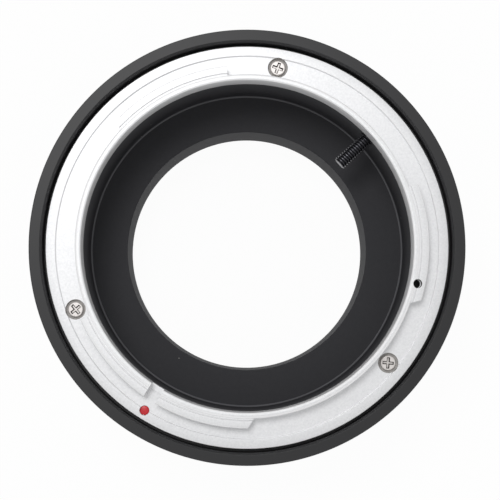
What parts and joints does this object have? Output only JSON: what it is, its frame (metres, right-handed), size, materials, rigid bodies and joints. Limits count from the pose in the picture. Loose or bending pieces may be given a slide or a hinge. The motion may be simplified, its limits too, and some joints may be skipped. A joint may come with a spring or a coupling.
{
  "type": "microscope adapter",
  "caption": "Round black camera adapter with a chromed breech-lock bayonet ring, an open optical bore and a threaded rear spigot.",
  "frame": {"origin": "centre of the rear end face, on the optical axis, at the base of the box around the part", "axes": "+Z along the optical axis from the rear spigot to the lens seat; seen from the lens side with +Y up and +X right, as in the picture"},
  "size_m": [0.0634, 0.0634, 0.0247],
  "materials": {
    "black_anodised": "satin black anodised",
    "satin_chrome": "pearl satin chrome on turned brass",
    "plated_screw": "nickel-plated",
    "black_oxide": "black oxide",
    "red_enamel": "satin red enamel"
  },
  "bodies": {
    "root": {"adapter_body": "black_anodised", "bayonet_ring": "satin_chrome", "mount_screw_1": "plated_screw", "mount_screw_2": "plated_screw", "mount_screw_3": "plated_screw", "stop_pin": "black_oxide", "index_dot": "red_enamel"}
  },
  "joints": []
}
